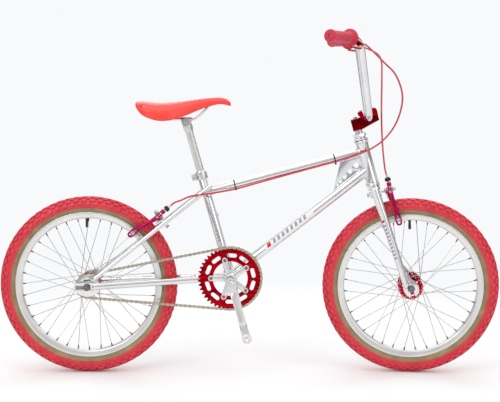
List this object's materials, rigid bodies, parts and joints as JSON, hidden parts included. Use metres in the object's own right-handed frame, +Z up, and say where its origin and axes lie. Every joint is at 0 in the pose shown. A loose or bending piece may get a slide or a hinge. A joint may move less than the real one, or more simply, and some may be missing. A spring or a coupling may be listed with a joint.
{
  "type": "bmx bicycle",
  "caption": "BMX bicycle with a chromed frame, steered fork, high-rise bars, calliper brakes, chain drive and wheels that turn.",
  "frame": {"origin": "on the floor, under the middle of the bicycle's length and width", "axes": "+X towards the front wheel, +Y to the rider's left, +Z up"},
  "size_m": [1.4324, 0.7082, 0.9874],
  "materials": {
    "frame_chrome": "bright chrome plate",
    "small_chrome": "bright plated steel",
    "rim_alloy": "polished alloy",
    "post_alloy": "polished and fluted",
    "dark_steel": "satin",
    "steel": "bright steel",
    "chain_steel": "oiled steel",
    "crank_chrome": "bright chrome plate",
    "red_ring": "red anodised",
    "red_stem": "red anodised",
    "red_hub": "red anodised",
    "red_brake": "raspberry anodised",
    "red_tyre": "red tread, tan side wall",
    "red_grip": "matt",
    "pad_rubber": "matt",
    "saddle_plastic": "satin",
    "cable_sleeve": "smooth"
  },
  "bodies": {
    "frame": {"head_tube": "frame_chrome", "top_tube": "frame_chrome", "down_tube": "frame_chrome", "seat_tube": "frame_chrome", "bottom_bracket_shell": "frame_chrome", "chainstay_left": "frame_chrome", "chainstay_right": "frame_chrome", "seatstay_left": "frame_chrome", "seatstay_right": "frame_chrome", "dropout_left": "frame_chrome", "dropout_right": "frame_chrome", "seat_clamp": "small_chrome", "headset_upper_cup": "dark_steel", "headset_lower_cup": "dark_steel", "rear_axle": "steel", "chain": "chain_steel", "rear_brake_bolt": "small_chrome", "rear_brake_cable_run": "cable_sleeve"},
    "seat_post": {"seat_post": "post_alloy"},
    "saddle": {"seat_cradle": "dark_steel", "saddle_rails": "small_chrome", "saddle_shell": "saddle_plastic"},
    "steering": {"headset_locknut": "dark_steel", "fork": "frame_chrome", "stem_body": "red_stem", "stem_bar_cap": "red_stem", "handlebar": "frame_chrome", "grip_left": "red_grip", "grip_right": "red_grip", "lever_clamp_left": "red_brake", "lever_clamp_right": "red_brake", "front_brake_bolt": "small_chrome", "front_axle": "steel", "front_brake_cable": "cable_sleeve", "rear_brake_cable_loop": "cable_sleeve"},
    "lever_left": {"lever_blade_left": "red_brake"},
    "lever_right": {"lever_blade_right": "red_brake"},
    "front_brake_c": {"front_brake_arm_c": "red_brake", "front_brake_pad_left": "pad_rubber"},
    "front_brake_y": {"front_brake_arm_y": "red_brake", "front_brake_pad_right": "pad_rubber"},
    "rear_brake_c": {"rear_brake_arm_c": "red_brake", "rear_brake_pad_left": "pad_rubber"},
    "rear_brake_y": {"rear_brake_arm_y": "red_brake", "rear_brake_pad_right": "pad_rubber"},
    "front_wheel": {"front_tyre": "red_tyre", "front_rim": "rim_alloy", "front_hub": "red_hub", "front_spokes_left": "steel", "front_spokes_right": "steel"},
    "rear_wheel": {"rear_tyre": "red_tyre", "rear_rim": "rim_alloy", "rear_hub": "red_hub", "rear_spokes_left": "steel", "rear_spokes_right": "steel"},
    "freewheel": {"rear_freewheel": "steel"},
    "cranks": {"chainring": "red_ring", "crank_arm_right": "crank_chrome", "crank_arm_left": "crank_chrome", "crank_spindle": "crank_chrome"}
  },
  "joints": [
    {"name": "steering", "type": "hinge", "parent": "frame", "child": "steering", "pos_m": [0.34871, 0, 0.551], "axis": [-0.2756, 0, 0.9613], "range_deg": [-54, 66], "deforming": ["rear_brake_cable_loop"]},
    {"name": "front_wheel_spin", "type": "hinge", "parent": "steering", "child": "front_wheel", "pos_m": [0.46285, -0.00293, 0.25396], "axis": [0.1005, 0.9945, 0.0288], "continuous": true},
    {"name": "rear_wheel_spin", "type": "hinge", "parent": "frame", "child": "rear_wheel", "pos_m": [-0.463, 0, 0.254], "axis": [0, 1, 0], "continuous": true},
    {"name": "crank_spin", "type": "hinge", "parent": "frame", "child": "cranks", "pos_m": [-0.058, 0, 0.278], "axis": [0, 1, 0], "continuous": true},
    {"name": "freewheel_spin", "type": "hinge", "parent": "frame", "child": "freewheel", "pos_m": [-0.463, 0, 0.254], "axis": [0, 1, 0], "continuous": true},
    {"name": "lever_left", "type": "hinge", "parent": "steering", "child": "lever_left", "pos_m": [0.32688, 0.22192, 0.9451], "axis": [0.5517, 0.1437, 0.8216], "range_deg": [0, 15], "stiffness_Nm_per_rad": 1.5, "springref_deg": -8.59},
    {"name": "lever_right", "type": "hinge", "parent": "steering", "child": "lever_right", "pos_m": [0.28069, -0.23529, 0.93185], "axis": [-0.5071, 0.2979, -0.8088], "range_deg": [0, 15], "stiffness_Nm_per_rad": 1.5, "springref_deg": -8.59},
    {"name": "front_brake_c_arm", "type": "hinge", "parent": "steering", "child": "front_brake_c", "pos_m": [0.35767, 0, 0.51976], "axis": [-0.956, 0.1045, -0.2741], "range_deg": [0, 1.5]},
    {"name": "front_brake_y_arm", "type": "hinge", "parent": "steering", "child": "front_brake_y", "pos_m": [0.35767, 0, 0.51976], "axis": [0.956, -0.1045, 0.2741], "range_deg": [0, 1.5]},
    {"name": "rear_brake_c_arm", "type": "hinge", "parent": "frame", "child": "rear_brake_c", "pos_m": [-0.2478, 0, 0.4336], "axis": [-0.626, 0, 0.7798], "range_deg": [0, 1.5]},
    {"name": "rear_brake_y_arm", "type": "hinge", "parent": "frame", "child": "rear_brake_y", "pos_m": [-0.2478, 0, 0.4336], "axis": [0.626, 0, -0.7798], "range_deg": [0, 1.5]},
    {"name": "seat_post_height", "type": "slide", "parent": "frame", "child": "seat_post", "axis": [-0.2756, 0, 0.9613], "range_m": [-0.09, 0.04]},
    {"name": "saddle_tilt", "type": "hinge", "parent": "seat_post", "child": "saddle", "pos_m": [-0.18507, 0, 0.72114], "axis": [0, 1, 0], "range_deg": [-10, 10]}
  ],
  "couplings": [
    {"joint": "freewheel_spin", "follows": "crank_spin", "ratio": 2.75},
    {"joint": "front_brake_c_arm", "follows": "lever_left", "ratio": 0.099},
    {"joint": "front_brake_y_arm", "follows": "lever_left", "ratio": 0.099},
    {"joint": "rear_brake_c_arm", "follows": "lever_right", "ratio": 0.099},
    {"joint": "rear_brake_y_arm", "follows": "lever_right", "ratio": 0.099}
  ]
}
